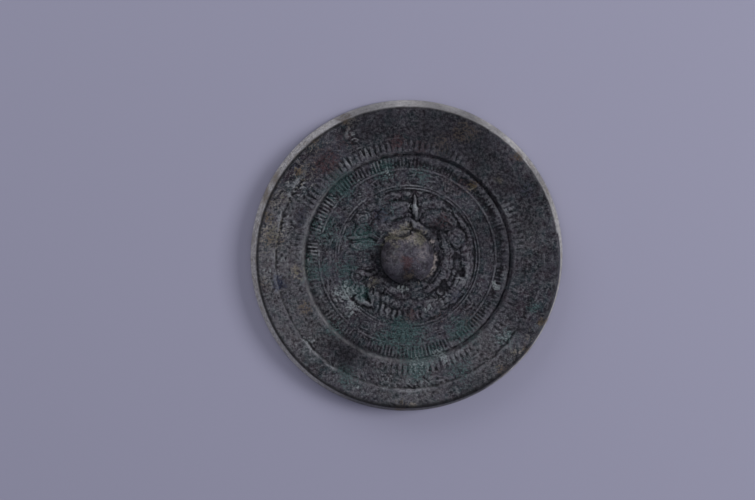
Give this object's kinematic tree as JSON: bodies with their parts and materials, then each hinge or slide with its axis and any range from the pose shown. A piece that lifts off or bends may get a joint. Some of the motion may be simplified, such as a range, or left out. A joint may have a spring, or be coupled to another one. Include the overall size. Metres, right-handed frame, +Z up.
{
  "type": "ancient bronze mirror",
  "caption": "Round cast bronze mirror lying on its polished face: slanted rim, toothed ring bands and coiled beasts in relief round a domed knob with a cord hole.",
  "frame": {"origin": "on the flat middle of the polished face that the mirror lies on, under the middle of the knob", "axes": "+Z up out of the decorated side, +Y along the cord hole through the knob, +X across the cord hole"},
  "size_m": [0.12, 0.12, 0.0128],
  "materials": {
    "bronze": "dark grey-brown patinated tin bronze with green, blue-white and ochre corrosion and soil in the low places"
  },
  "bodies": {
    "root": {"bronze_mirror": "bronze"}
  },
  "joints": []
}
